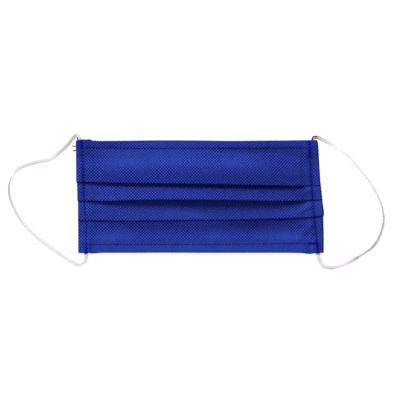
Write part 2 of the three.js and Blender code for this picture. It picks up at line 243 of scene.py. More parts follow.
# The ear loops' routes: points chosen along each loop from its upper end to its lower end, close to
# the solids' own. lift is the height of the band's lowest edge, as a share of HEM_TOP, and turn is the
# band's roll in degrees.
LEFT_ROUTE = table(
    "x y lift turn",
    (-0.0884, 0.0345, 1.00, 0),
    (-0.0884, 0.0390, 1.00, 0),
    (-0.0888, 0.0422, 0.80, 4),
    (-0.0894, 0.0446, 0.60, 8),
    (-0.0909, 0.0451, 0.40, -16),
    (-0.0930, 0.0433, 0.20, -20),
    (-0.0974, 0.0380, 0.10, -16),
    (-0.1027, 0.0332, 0.08, -7),
    (-0.1095, 0.0280, 0.08, 6),
    (-0.1200, 0.0255, 0.08, 0),
    (-0.1310, 0.0220, 0.08, 0),
    (-0.1373, 0.0173, 0.08, 16),
    (-0.1386, 0.0140, 0.08, 90),
    (-0.1400, 0.0094, 0.08, 102),
    (-0.1402, 0.0025, 0.08, 114),
    (-0.1378, -0.0060, 0.08, 118),
    (-0.1321, -0.0166, 0.08, 126),
    (-0.1215, -0.0280, 0.08, 148),
    (-0.1080, -0.0383, 0.08, 166),
    (-0.0962, -0.0464, 0.08, 170),
    (-0.0896, -0.0495, 0.15, 172),
    (-0.0852, -0.0480, 0.40, 176),
    (-0.0837, -0.0436, 0.77, 182),
    (-0.0836, -0.0390, 1.00, 180),
    (-0.0836, -0.0345, 1.00, 180),
)
RIGHT_ROUTE = table(
    "x y lift turn",
    (0.0826, 0.0345, 1.00, 0),
    (0.0826, 0.0390, 1.00, 0),
    (0.0831, 0.0427, 0.70, 8),
    (0.0860, 0.0435, 0.46, 26),
    (0.0905, 0.0416, 0.15, 12),
    (0.0974, 0.0380, 0.08, -8),
    (0.1070, 0.0318, 0.08, -64),
    (0.1150, 0.0228, 0.08, -62),
    (0.1226, 0.0135, 0.08, -60),
    (0.1293, 0.0028, 0.08, -62),
    (0.1338, -0.0085, 0.08, -60),
    (0.1348, -0.0172, 0.15, -54),
    (0.1329, -0.0262, 0.46, -50),
    (0.1276, -0.0362, 0.60, -46),
    (0.1178, -0.0434, 0.36, -62),
    (0.1130, -0.0461, 0.26, -12),
    (0.1045, -0.0498, 0.15, 12),
    (0.0955, -0.0522, 0.08, -8),
    (0.0896, -0.0498, 0.23, 4),
    (0.0871, -0.0445, 0.77, 4),
    (0.0867, -0.0390, 1.00, 0),
    (0.0867, -0.0345, 1.00, 0),
)

# The camera, straight above the middle of the photograph

PHOTO_SIDE = 0.2939  # what the square photograph shows of the floor
PHOTO_MIDDLE = (0.0001, -0.0027)
CAMERA_HEIGHT = 1.4
SENSOR = 36


def make_camera():
    data = bpy.data.cameras.new("camera")
    data.sensor_width = SENSOR
    data.lens = SENSOR * CAMERA_HEIGHT / PHOTO_SIDE
    data.clip_start = 0.05
    camera = bpy.data.objects.new("camera", data)
    camera.location = (*PHOTO_MIDDLE, CAMERA_HEIGHT)
    bpy.context.scene.collection.objects.link(camera)
    bpy.context.scene.camera = camera


# Curves and meshes


def spline(places, values, at):
    """A smooth curve through values that never passes them, at each of the places asked for."""
    places, values = np.asarray(places, float), np.asarray(values, float)
    slopes = np.diff(values) / np.diff(places)
    before, after = slopes[:-1], slopes[1:]
    inner = np.where(before * after > 0, 2 * before * after / (before + after + 1e-12), 0)
    tangents = np.concatenate([slopes[:1], inner, slopes[-1:]])
    at = np.clip(at, places[0], places[-1])
    i = np.clip(np.searchsorted(places, at, side="right") - 1, 0, len(places) - 2)
    span = places[i + 1] - places[i]
    t = (at - places[i]) / span
    return (
        values[i] * (2 * t**3 - 3 * t**2 + 1)
        + values[i + 1] * (3 * t**2 - 2 * t**3)
        + span * tangents[i] * (t**3 - 2 * t**2 + t)
        + span * tangents[i + 1] * (t**3 - t**2)
    )


def column(rows, place, value, at):
    """A table's column value as a smooth curve over its column place, at the places asked for."""
    return spline([row[place] for row in rows], [row[value] for row in rows], at)


def step(start, end, at):
    """0 at and before start, 1 at and past end, smooth between; end may be below start."""
    t = np.clip((at - start) / (end - start), 0, 1)
    return t * t * (3 - 2 * t)


def left_edge(y):
    return column(SIDE_LINES[::-1], "y", "left", y)


def right_edge(y):
    return column(SIDE_LINES[::-1], "y", "right", y)


def run_along(line):
    """How far along a line of points each of them lies."""
    return np.concatenate([[0], np.cumsum(np.linalg.norm(np.diff(line, axis=0), axis=1))])


SPAN_STEPS = 40  # fine steps from one point of a curve to the next


def through(points, count):
    """count points evenly spaced along a centripetal curve through the points, and where each
    lies among them."""
    points = np.asarray(points, float)
    first, last = 2 * points[0] - points[1], 2 * points[-1] - points[-2]
    ring = np.vstack([first, points, last])
    line, places = [], []
    fine = np.linspace(0, 1, SPAN_STEPS, endpoint=False)
    for i in range(len(points) - 1):
        p = ring[i : i + 4]
        knots = np.concatenate([[0], np.cumsum(np.linalg.norm(np.diff(p, axis=0), axis=1) ** 0.5)])
        t = (knots[1] + (knots[2] - knots[1]) * fine)[:, None]
        a = [
            ((knots[k + 1] - t) * p[k] + (t - knots[k]) * p[k + 1]) / (knots[k + 1] - knots[k])
            for k in range(3)
        ]
        b = [
            ((knots[k + 2] - t) * a[k] + (t - knots[k]) * a[k + 1]) / (knots[k + 2] - knots[k])
            for k in range(2)
        ]
        line.append(((knots[2] - t) * b[0] + (t - knots[1]) * b[1]) / (knots[2] - knots[1]))
        places.append(i + fine)
    line, places = np.vstack([*line, points[-1:]]), np.concatenate([*places, [len(points) - 1]])
    run = run_along(line)
    even = np.linspace(0, run[-1], count)
    spaced = np.stack([np.interp(even, run, line[:, k]) for k in range(line.shape[1])], 1)
    return spaced, np.interp(even, run, places)


def directions(line):
    """The directions along a line of points, level beside it and up from it, at each point."""
    tangent = np.gradient(line, axis=0)
    tangent /= np.linalg.norm(tangent, axis=1, keepdims=True) + 1e-15
    side = np.cross((0, 0, 1), tangent)
    side /= np.linalg.norm(side, axis=1, keepdims=True) + 1e-15
    return tangent, side, np.cross(tangent, side)


def beside_seam(seam, x, y):
    """How far along a seam a place is, and how far beside it."""
    line = np.asarray(seam["line"])
    upright = abs(line[-1, 1] - line[0, 1]) > abs(line[-1, 0] - line[0, 0])
    along, off = (y, x) if upright else (x, y)
    order = np.argsort(line[:, 1 if upright else 0])
    path = np.interp(along, line[order, 1 if upright else 0], line[order, 0 if upright else 1])
    return along, np.abs(off - path)


def soft_spots(rows, key, x, y):
    """The sum of soft spots at a place, each with its row's value under key in its middle."""
    return sum(
        row[key] * np.exp(-(((x - row["x"]) / row["wide"]) ** 2) - ((y - row["y"]) / row["high"]) ** 2)
        for row in rows
    )


def edge_shade(inside, width, reach, strength):
    """How much painted shade a turned edge has at a distance inside it, standing in for the shade on its
    rounded side. It has faded out at reach times width.
    """
    return strength * np.clip(reach - inside / width, 0, 1)


def tone_of(x, y):
    """How light or dark the cloth is at a place: its cloudy tone with painted sheen, highlights and shade,
    painted shade along its seams, and painted shade darkest round its turned edges.
    """
    cloudy = soft_spots(PATCHES, "tone", x, y)
    # Painted shade along the right, left and bottom edges, where the cloth turns down; darkest on the right.
    edge = np.maximum.reduce([
        edge_shade(right_edge(y) - x, width=1.0 * MM, reach=1.5, strength=1.0),
        edge_shade(x - left_edge(y), width=0.6 * MM, reach=1.2, strength=0.5),
        edge_shade(y + TOP_Y + 0.2 * MM, width=0.6 * MM, reach=1.2, strength=0.5),
    ])
    # Painted shade along each seam's pressed groove.
    for seam in SEAMS.values():
        _, away = beside_seam(seam, x, y)
        cloudy = cloudy - seam["shade"] * np.exp(-((away / seam["spread"]) ** 2))
    return np.clip(cloudy, -1, 1) * (1 - edge) - edge


def make_object(name, vertices, faces, material, flat=None, sharp_from=None):
    """A smooth mesh. Faces from number sharp_from on are flat, as the cut edge of a cloth is."""
    mesh = bpy.data.meshes.new(name)
    mesh.from_pydata([tuple(v) for v in vertices], [], [tuple(int(i) for i in f) for f in faces])
    smooth = np.ones(len(mesh.polygons), bool)
    if sharp_from is not None:
        smooth[sharp_from:] = False
    mesh.polygons.foreach_set("use_smooth", smooth)
    if flat is not None:
        layer = mesh.attributes.new("flat", "FLOAT_VECTOR", "POINT")
        layer.data.foreach_set("vector", np.asarray(flat, np.float32).ravel())
    mesh.materials.append(material)
    mesh.update()
    thing = bpy.data.objects.new(name, mesh)
    bpy.context.scene.collection.objects.link(thing)
    return thing


def grid_faces(rows, columns):
    i = np.arange(rows * columns).reshape(rows, columns)
    return np.stack([i[:-1, :-1], i[1:, :-1], i[1:, 1:], i[:-1, 1:]], -1).reshape(-1, 4)


def tube_faces(stations, sides):
    """The faces of a tube of rings: its walls, then its two ends."""
    i = np.arange(stations * sides).reshape(stations, sides)
    nxt = np.roll(i, -1, axis=1)
    walls = np.stack([i[:-1], nxt[:-1], nxt[1:], i[1:]], -1).reshape(-1, 4)
    return [*walls.tolist(), i[0, ::-1].tolist(), i[-1].tolist()]


def cloth_object(name, middle, material, flat):
    """A closed sheet of cloth around a grid of points, which are its middle."""
    rows, columns = middle.shape[:2]
    down, along = np.gradient(middle, axis=0), np.gradient(middle, axis=1)
    normal = np.cross(down, along)
    normal /= np.linalg.norm(normal, axis=2, keepdims=True) + 1e-15
    front = (middle + normal * CLOTH / 2).reshape(-1, 3)
    back = (middle - normal * CLOTH / 2).reshape(-1, 3)
    count = rows * columns
    top = grid_faces(rows, columns)
    under = top[:, ::-1] + count
    i = np.arange(count).reshape(rows, columns)
    border = np.concatenate([i[0, :-1], i[:-1, -1], i[-1, :0:-1], i[:0:-1, 0]])
    after = np.roll(border, -1)
    cut = np.stack([border, after, after + count, border + count], 1)
    faces = np.vstack([top, under, cut])
    coordinates = np.vstack([flat.reshape(-1, 3)] * 2)
    piece = make_object(name, np.vstack([front, back]), faces, material, coordinates, 2 * len(top))
    tones = np.tile(tone_of(middle[..., 0], middle[..., 1]).ravel(), 2)
    layer = piece.data.attributes.new("tone", "FLOAT", "POINT")
    layer.data.foreach_set("value", tones.astype(np.float32))
    return piece


def placed(piece, node=None):
    """Puts a piece on the body, in the place of a solid where node names one."""
    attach(piece, "root")
    if node:
        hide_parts(node)
    return piece


# Materials


class Nodes:
    """Small helpers to build one material's node tree."""

    def __init__(self, name):
        self.material = bpy.data.materials.new(name)
        self.material.use_nodes = True
        self.tree = self.material.node_tree
        self.shader = self.tree.nodes["Principled BSDF"]

    def node(self, kind, **settings):
        made = self.tree.nodes.new(kind)
        for key, value in settings.items():
            setattr(made, key, value)
        return made

    def put(self, socket, value):
        if isinstance(value, bpy.types.NodeSocket):
            self.tree.links.new(value, socket)
        else:
            socket.default_value = value

    def math(self, operation, a, b=0.0):
        made = self.node("ShaderNodeMath", operation=operation)
        self.put(made.inputs[0], a)
        self.put(made.inputs[1], b)
        return made.outputs[0]

    def attribute(self, name, output):
        return self.node("ShaderNodeAttribute", attribute_name=name).outputs[output]

    def flat(self):
        """The piece's own coordinates: cloth laid flat, or across and along elastic, or along and
        round a thread."""
        return self.attribute("flat", "Vector")

    def split(self, vector):
        """The three numbers of a vector."""
        made = self.node("ShaderNodeSeparateXYZ")
        self.put(made.inputs[0], vector)
        return made.outputs

    def noise(self, vector, scale, detail=2.0, stretch=(1, 1, 1)):
        mapping = self.node("ShaderNodeMapping")
        self.put(mapping.inputs["Vector"], vector)
        mapping.inputs["Scale"].default_value = stretch
        made = self.node("ShaderNodeTexNoise")
        self.put(made.inputs["Vector"], mapping.outputs[0])
        made.inputs["Scale"].default_value = scale
        made.inputs["Detail"].default_value = detail
        return made.outputs[0]

    def between(self, value, low, high, out_low, out_high):
        made = self.node("ShaderNodeMapRange", clamp=True)
        self.put(made.inputs[0], value)
        for socket, number in zip(made.inputs[1:5], (low, high, out_low, out_high)):
            socket.default_value = number
        return made.outputs[0]

    def mix(self, factor, a, b):
        made = self.node("ShaderNodeMix", data_type="RGBA")
        self.put(made.inputs[0], factor)
        self.put(made.inputs[6], a)
        self.put(made.inputs[7], b)
        return made.outputs[2]

    def bump(self, height, distance, strength=1.0):
        made = self.node("ShaderNodeBump")
        made.inputs["Strength"].default_value = strength
        made.inputs["Distance"].default_value = distance
        self.put(made.inputs["Height"], height)
        self.put(self.shader.inputs["Normal"], made.outputs[0])

    def finish(self, **values):
        for name, value in values.items():
            self.put(self.shader.inputs[name.replace("_", " ")], value)
        return self.material


DOT_PITCH = 1.58 * MM  # between the nearest embossed dots, on a lattice turned by 45 degrees
DOT_MEAN = 0.36  # the middle of the pattern, about which its contrast is set
DEEP_BLUE = (0.0001, 0.0006, 0.108, 1)
DOT_BLUE = (0.0540, 0.1000, 0.655, 1)
CLOUD_BLUE = (0.026, 0.055, 0.34, 1)
# Tone above 0 mixes towards this: the cloth's lighter cloudy tone with painted sheen and painted highlights.
HAZE_AND_HIGHLIGHT_BLUE = (0.030, 0.068, 0.40, 1)
# Tone below 0 mixes towards this: painted shade at edges, seams and below folds, and darker tone.
DARK_TONE_AND_SHADE_BLUE = (0.0025, 0.0040, 0.055, 1)
FIBRE_BLUE = (0.003, 0.006, 0.12, 1)
SPECK_BLUE = (0.085, 0.118, 0.43, 1)


def cloth_material():
    """Blue spunbond: an embossed lattice of dots and cloudy fibres, nearly matt, which glows a little
    through itself. Its tone attribute lightens it with painted sheen and highlights and darkens it with
    painted shade, as well as with its own cloudy tone."""
    n = Nodes("blue_spunbond")
    flat = n.flat()
    # tone carries the cloth's cloudy tone together with its painted light and shade.
    tone = n.attribute("tone", "Fac")
    across, y, _ = n.split(flat)
    wobble = n.math("MULTIPLY", n.math("SUBTRACT", n.noise(flat, 180), 0.5), 0.5 * MM)
    x = n.math("ADD", across, wobble)
    turn = 2 * math.pi / (DOT_PITCH * math.sqrt(2))
    rising = n.math("COSINE", n.math("MULTIPLY", n.math("SUBTRACT", x, y), turn))
    falling = n.math("COSINE", n.math("MULTIPLY", n.math("ADD", x, y), turn))
    weaker = n.between(across, -0.03, 0.05, 1.0, 0.45)
    both = n.math("ADD", rising, n.math("MULTIPLY", falling, weaker))
    raised = n.between(both, -1.3, 1.3, 0, 1)
    drift = n.between(n.noise(flat, 130), 0.35, 0.65, 0.65, 1.25)
    haze_and_highlight = n.math("MULTIPLY", n.between(tone, 0, 1, 0, 1), drift)
    dark_tone_and_shade = n.between(tone, 0, -1, 0, 1)
    clouds = n.noise(flat, 48, 3.0, (1, 1.5, 1))
    bold = n.between(n.noise(flat, 95), 0.38, 0.62, 0.55, 1.1)
    bold = n.math("MULTIPLY", bold, n.between(tone, 0, 1, 1.0, 0.35))
    spots = n.math("POWER", raised, 2.0)
    pattern = n.math("MULTIPLY_ADD", n.math("SUBTRACT", spots, DOT_MEAN), bold)
    pattern.node.inputs[2].default_value = DOT_MEAN
    fibres = n.noise(flat, 900, 3.0, (1, 2.4, 1))
    specks = n.noise(flat, 620, 2.0, (1, 1.6, 1))
    colour = n.mix(pattern, DEEP_BLUE, DOT_BLUE)
    colour = n.mix(n.between(clouds, 0.45, 0.72, 0, 0.25), colour, CLOUD_BLUE)
    colour = n.mix(n.math("MULTIPLY", haze_and_highlight, 0.60), colour, HAZE_AND_HIGHLIGHT_BLUE)
    colour = n.mix(n.math("MULTIPLY", dark_tone_and_shade, 0.86), colour, DARK_TONE_AND_SHADE_BLUE)
    colour = n.mix(n.between(fibres, 0.3, 0.75, 0.0, 0.25), colour, FIBRE_BLUE)
    colour = n.mix(n.between(specks, 0.55, 0.72, 0.0, 0.16), colour, SPECK_BLUE)
    height = n.math("ADD", n.math("MULTIPLY", raised, 0.8), n.math("MULTIPLY", fibres, 0.35))
    n.bump(height, 0.16 * MM, 0.8)
    return n.finish(
        Base_Color=colour,
        Roughness=n.between(pattern, 0, 1, 0.68, 0.85),
        Specular_IOR_Level=0.04,
        Subsurface_Weight=0.3,
        Subsurface_Radius=(0.22, 0.28, 1.0),
        Subsurface_Scale=1.4 * MM,
    )


# One blue thread in lit and shaded copies: the darkest is painted shade, for the thread lying in the top
# seam's groove, and the brightest is the lit copy, for the tacks and the bottom and left seams.
THREAD_COLOURS = dict(
    blue_thread=(0.0008, 0.0012, 0.30, 1),
    shaded_blue_thread=(0.0008, 0.0012, 0.17, 1),
    bright_blue_thread=(0.0006, 0.0009, 0.43, 1),
    # The loose ends' colour, which also serves the painted shade at the upper right corner.
    loose_thread_and_shade=(0.006, 0.006, 0.045, 1),
)


def thread_material(name, colour):
    """Sewing thread, with the slanting grooves of its twist, painted darker in the grooves as their shade.
    """
    n = Nodes(name)
    along, angle, _ = n.split(n.flat())
    turn = n.math("ADD", n.math("MULTIPLY", along, 2 * math.pi / THREAD_TWIST), angle)
    groove = n.math("SINE", n.math("MULTIPLY", turn, 2.0))
    # Painted shade: the thread is darker in the grooves of its twist.
    dark = tuple(0.55 * c for c in colour[:3]) + (1,)
    n.bump(groove, 0.03 * MM, 0.7)
    return n.finish(
        Base_Color=n.mix(n.between(groove, -1, 1, 0, 1), dark, colour),
        Roughness=n.between(groove, -1, 1, 0.7, 0.55),
        Specular_IOR_Level=0.12,
    )


KNIT_RIB = 0.8 * MM  # from one rib of the elastic to the next
KNIT_LOOP = 0.6 * MM  # the length of one knitted loop
# The grooves' colour is painted shade, darker than the ribs'.
GROOVE_SHADE_WHITE = (0.750, 0.705, 0.755, 1)
RIB_WHITE = (0.800, 0.755, 0.805, 1)
PATCH_WHITE = (0.775, 0.735, 0.780, 1)


def elastic_material():
    """Off-white knitted elastic: lengthwise ribs with small slanting loops in them, painted darker in the
    grooves as their shade.
    """
    n = Nodes("knitted_elastic")
    flat = n.flat()
    across, along, _ = n.split(flat)
    slant = n.math("ABSOLUTE", n.math("SINE", n.math("MULTIPLY", along, math.pi / KNIT_LOOP)))
    rib = n.math("MULTIPLY", across, 2 * math.pi / KNIT_RIB)
    loops = n.math("SINE", n.math("ADD", rib, n.math("MULTIPLY", slant, 1.4)))
    patches = n.noise(flat, 120)
    shade = n.mix(n.between(loops, -1, 1, 0, 1), GROOVE_SHADE_WHITE, RIB_WHITE)
    n.bump(loops, 0.04 * MM, 0.3)
    return n.finish(
        Base_Color=n.mix(n.between(patches, 0.35, 0.7, 0, 0.5), shade, PATCH_WHITE),
        Roughness=n.between(loops, -1, 1, 0.8, 0.65),
        Specular_IOR_Level=0.2,
        Subsurface_Weight=0.8,
        Subsurface_Radius=(1.0, 0.9, 1.0),
        Subsurface_Scale=1.0 * MM,
    )


FLOOR_GREY = (0.19, 0.19, 0.19, 1)
FLOOR_GLOW = 0.86


def floor_material():
    """A pale floor that glows, so that it shows nearly white with only faint shadows."""
    return Nodes("pale_floor").finish(
        Base_Color=FLOOR_GREY,
        Roughness=0.9,
        Emission_Color=(1, 1, 1, 1),
        Emission_Strength=FLOOR_GLOW,
        Specular_IOR_Level=0.1,
    )


# The ear loops

BAND_STATIONS = 380
BAND_SIDES = 36
RIBS = 5


def band_outline():
    """The band's section: across its width, through its thickness, with ribs on both faces."""
    angle = np.linspace(0, 2 * math.pi, BAND_SIDES, endpoint=False)
    across = np.sign(np.cos(angle)) * np.abs(np.cos(angle)) ** 0.9
    through_it = np.sign(np.sin(angle)) * np.abs(np.sin(angle)) ** 0.75
    rib = 1 - 0.10 * (1 - np.cos(RIBS * math.pi * (across + 1))) / 2
    return across * ELASTIC_WIDTH / 2, through_it * rib * ELASTIC_THICKNESS / 2


def band_drop(turns):
    """How far the band reaches below its middle, at each of the turns in degrees."""
    across, through_it = band_outline()
    roll = np.radians(turns)[:, None]
    return -np.min(across * np.sin(roll) + through_it * np.cos(roll), axis=1)


def ear_loop(name, node, route, material):
    line, places = through([(p["x"], p["y"]) for p in route], BAND_STATIONS)
    turns = spline(np.arange(len(route)), [p["turn"] for p in route], places)
    lifts = spline(np.arange(len(route)), [p["lift"] for p in route], places)
    line = np.column_stack([line, lifts * HEM_TOP + band_drop(turns)])
    run = run_along(line)
    tangent, side, up = directions(line)
    roll = np.radians(turns)[:, None]
    wide = side * np.cos(roll) + up * np.sin(roll)
    thick = np.cross(tangent, wide)
    across, through_it = band_outline()
    rings = line[:, None] + wide[:, None] * across[:, None] + thick[:, None] * through_it[:, None]
    faces = tube_faces(BAND_STATIONS, BAND_SIDES)
    flat = np.stack(np.broadcast_arrays(across[None, :], run[:, None], 0.0), -1).reshape(-1, 3)
    band = make_object(name, rings.reshape(-1, 3), faces, material, flat, len(faces) - 2)
    placed(band, node)


# The folded cloth: four panels, of which the first three each end in a fold that lies over the next

FOLD_NAMES = ("first", "second", "third")
LAST = len(FOLD_NAMES)
PUFFS = [  # how each panel lifts to its fold: over what length, and how high before it rounds off
    dict(reach=25.5 * MM, round_off=0.52, peak=1.14),
    dict(reach=11.5 * MM, round_off=0.78, peak=1.17),
    dict(reach=13.0 * MM, round_off=0.78, peak=1.20),
]
FINE_ZONE = 13 * MM  # from a side, where the columns lie closer
END_ZONE = 11 * MM  # from the top or the bottom edge, where the rows lie closer
EDGE_COLUMNS = 7
WRAP_COLUMNS = 9
FINE_COLUMNS = 19
MIDDLE_COLUMNS = 144
END_ROWS = 25
PANEL_ROWS = (30, 20, 20, 16)
HIDDEN_ROWS = 10
END_ANGLES = 5
NOSE_ANGLES = 8
INNER_ANGLES = 7
FADE = 0.9 * MM  # over which a rounded side edge comes out from under a fold


def cross_line(name, share):
    return column(CROSS_LINES, "across", name, share)


def from_side(share):
    return np.minimum(share, 1 - share) * WIDTH


def ground(share, y):
    """The middle of the cloth where it lies on its hems, on the elastic's ends or on the floor."""
    from_end = np.minimum(cross_line("top", share) - y, y - cross_line("bottom", share))
    on_side = step(HEM_WIDTH + DRAPE, HEM_WIDTH, from_side(share))
    on_end = step(HEM_WIDTH + DRAPE, HEM_WIDTH, from_end)
    corner = step(HEM_WIDTH + 2 * MM, HEM_WIDTH - 2 * MM, from_side(share)) * on_end
    return LOWEST + HEM_RISE * np.maximum(on_side, on_end) + ELASTIC_RISE * corner


def pile_height(panel, share, y):
    """How high a panel lies above the ground, on the pleats below it."""
    if panel == LAST:
        return np.zeros(np.broadcast(share, y).shape)
    tuck = cross_line(FOLD_NAMES[panel], share) + PLEAT_DEPTH
    start = tuck + TOP_CLIMB
    if panel > 0:
        start = np.maximum(cross_line(FOLD_NAMES[panel - 1], share) + EARLY_CLIMB, tuck + 2 * MM)
    return step(start, tuck, y) * (pile_height(panel + 1, share, np.minimum(y, tuck)) + 2 * LAYER)


def lie(panel, share, y):
    """The middle of a panel where its pleat is closed."""
    return ground(share, y) + pile_height(panel, share, y)


def opening(fold, share):
    return np.maximum(column(OPENINGS, "across", FOLD_NAMES[fold], share), 0)


def panel_middle(panel, share, y):
    """The middle of a panel, lifted where the pleat that it ends in stands open."""
    if panel == LAST:
        return lie(panel, share, y)
    puff = PUFFS[panel]
    t = np.clip((cross_line(FOLD_NAMES[panel], share) + puff["reach"] - y) / puff["reach"], 0, 1)
    rounded = np.clip((t - puff["round_off"]) / (1 - puff["round_off"]), 0, 1) ** 1.9
    climb = step(0, puff["round_off"], t) if panel == 0 else t**1.4
    lift = opening(panel, share) * (puff["peak"] * climb - (puff["peak"] - 1) * rounded)
    return lie(panel, share, y) + lift


def inner_middle(fold, share, y):
    """The middle of the hidden inner layer of a pleat."""
    edge = cross_line(FOLD_NAMES[fold], share)
    lift = opening(fold, share) * np.clip((edge + PLEAT_DEPTH - y) / PLEAT_DEPTH, 0, 1) ** 1.7
    return lie(fold + 1, share, y) + LAYER + lift


def shown_height(share, y):
    """The middle of the cloth that shows at a place."""
    height = panel_middle(LAST, share, y)
    for panel in reversed(range(LAST)):
        edge = cross_line(FOLD_NAMES[panel], share)
        height = np.where(y >= edge, panel_middle(panel, share, y), height)
    return height


def sheet_columns():
    """Shares of the way across, and how far into a side's rounded edge each column lies."""
    edge_turn = np.linspace(0, 1, EDGE_COLUMNS)
    wrap = np.linspace(0, WRAP_ZONE, WRAP_COLUMNS)[1:]
    fine = np.linspace(WRAP_ZONE, FINE_ZONE, FINE_COLUMNS)[1:]
    left = np.concatenate([np.zeros(len(edge_turn)), wrap, fine]) / WIDTH
    turns = np.concatenate([edge_turn, np.ones(len(wrap) + len(fine))])
    middle = np.linspace(left[-1], 1 - left[-1], MIDDLE_COLUMNS)[1:-1]
    share = np.concatenate([left, middle, 1 - left[::-1]])
    turn = np.concatenate([turns, np.ones(len(middle)), turns[::-1]])
    return share, turn


def sheet_rows(share):
    """Rows from the top edge to the bottom: y, z, how much of the side's rounded edge shows, and y
    where the cloth lies unfolded."""
    top, bottom = cross_line("top", share) - CLOTH / 2, cross_line("bottom", share) + CLOTH / 2
    closed = step(HEM_WIDTH - 0.5 * MM, HEM_WIDTH + 0.5 * MM, from_side(share))
    rows = []

    def add(y, z, shown, flat):
        rows.append((y, z, np.broadcast_to(shown, y.shape), flat))

    def turned_end(panel, edge, way, angles):
        """The bend round the top edge (way 1) or the bottom edge (way -1)."""
        for angle in angles:
            unbent = (1 - angle / (math.pi / 2)) * (1 - closed)
            y = edge - way * FOLD_RADIUS * (1 - np.cos(angle) * closed - unbent)
            sunk = FOLD_RADIUS * (1 - np.sin(angle)) * closed
            add(y, lie(panel, share, y) - sunk, 1.0, y - 2 * PLEAT_DEPTH * panel)

    def panel_rows(panel, start, end, count, from_fold=False):
        """A panel's rows from start to end. Its rounded sides fade in where it leaves a fold."""
        for t in np.linspace(0, 1, count)[1:]:
            y = start + (end - start) * t
            shown = step(start, start - FADE, y) if from_fold else 1.0
            add(y, panel_middle(panel, share, y), shown, y - 2 * PLEAT_DEPTH * panel)

    def half_turn(low, count):
        """The angles and heights of a fold's bend, from the last row's height down to low."""
        high = rows[-1][1]
        half = (high - low) / 2
        angles = np.linspace(0, math.pi, count)[1:-1]
        return [(angle, high - half * (1 - math.cos(angle))) for angle in angles]

    turned_end(0, top, 1, np.linspace(0, math.pi / 2, END_ANGLES))
    start = top - FOLD_RADIUS
    before = start - END_ZONE
    panel_rows(0, start, before, END_ROWS)
    for fold, name in enumerate(FOLD_NAMES):
        edge = cross_line(name, share)
        nose = edge + FOLD_RADIUS + CLOTH / 2
        inner = edge + PLEAT_DEPTH - FOLD_RADIUS - CLOTH / 2
        below = 2 * PLEAT_DEPTH * fold
        turned = 2 * (nose - FOLD_RADIUS) - below
        panel_rows(fold, before, nose, PANEL_ROWS[fold], fold > 0)
        for angle, z in half_turn(inner_middle(fold, share, nose), NOSE_ANGLES):
            y = nose - FOLD_RADIUS * math.sin(angle)
            add(y, z, 1 - angle / math.pi, y - below if angle < math.pi / 2 else turned - y)
        for t in np.linspace(0, 1, HIDDEN_ROWS):
            y = nose + (inner - nose) * t
            add(y, inner_middle(fold, share, y), 0.0, turned - y)
        below = 2 * PLEAT_DEPTH * (fold + 1)
        for angle, z in half_turn(lie(fold + 1, share, inner), INNER_ANGLES):
            y = inner + FOLD_RADIUS * math.sin(angle)
            add(y, z, 0.0, turned - y if angle < math.pi / 2 else y - below)
        for t in np.linspace(0, 1, HIDDEN_ROWS):
            y = inner + (nose - FOLD_RADIUS - CLOTH / 2 - inner) * t
            add(y, panel_middle(fold + 1, share, y), 0.0, y - below)
        before = edge
    end = bottom + FOLD_RADIUS
    panel_rows(LAST, before, end + END_ZONE, PANEL_ROWS[LAST], True)
    panel_rows(LAST, end + END_ZONE, end, END_ROWS)
    turned_end(LAST, bottom, -1, np.linspace(math.pi / 2, 0, END_ANGLES)[1:])
    return [np.stack(part) for part in zip(*rows)]


def edge_radius(share, y):
    """The radius of a side's rounded edge, which is as high as what it holds."""
    near = [shown_height(share, y + offset) for offset in (-0.3 * MM, 0, 0.3 * MM)]
    return (sum(near) / len(near) - LOWEST) / 2


def creased(x, y):
    """How far the creases lift the cloth."""
    lift = np.zeros_like(x)
    for crease in CREASES:
        start = np.asarray(crease["start"])
        run = np.asarray(crease["end"]) - start
        length = np.hypot(*run)
        along = np.clip(((x - start[0]) * run[0] + (y - start[1]) * run[1]) / length**2, 0, 1)
        away = ((x - start[0]) * run[1] - (y - start[1]) * run[0]) / length
        rise = np.sin(math.pi * along) ** 0.7 * np.exp(-((away / crease["spread"]) ** 2))
        lift = lift + crease["lift"] * rise
    return lift


PRESS_WIDTH = 0.85 * MM  # how wide a seam presses the cloth in
PUCKER_LENGTH = 5.3 * MM  # from one pucker beside a seam to the next
PUCKER_HEIGHT = 0.075 * MM
PUCKER_REACH = 2.6 * MM
WAVE_HEIGHT = 0.16 * MM  # of the slow waves all over the cloth
RIM_LIFT = 0.9 * MM  # how far the bottom edge is turned up between its corners


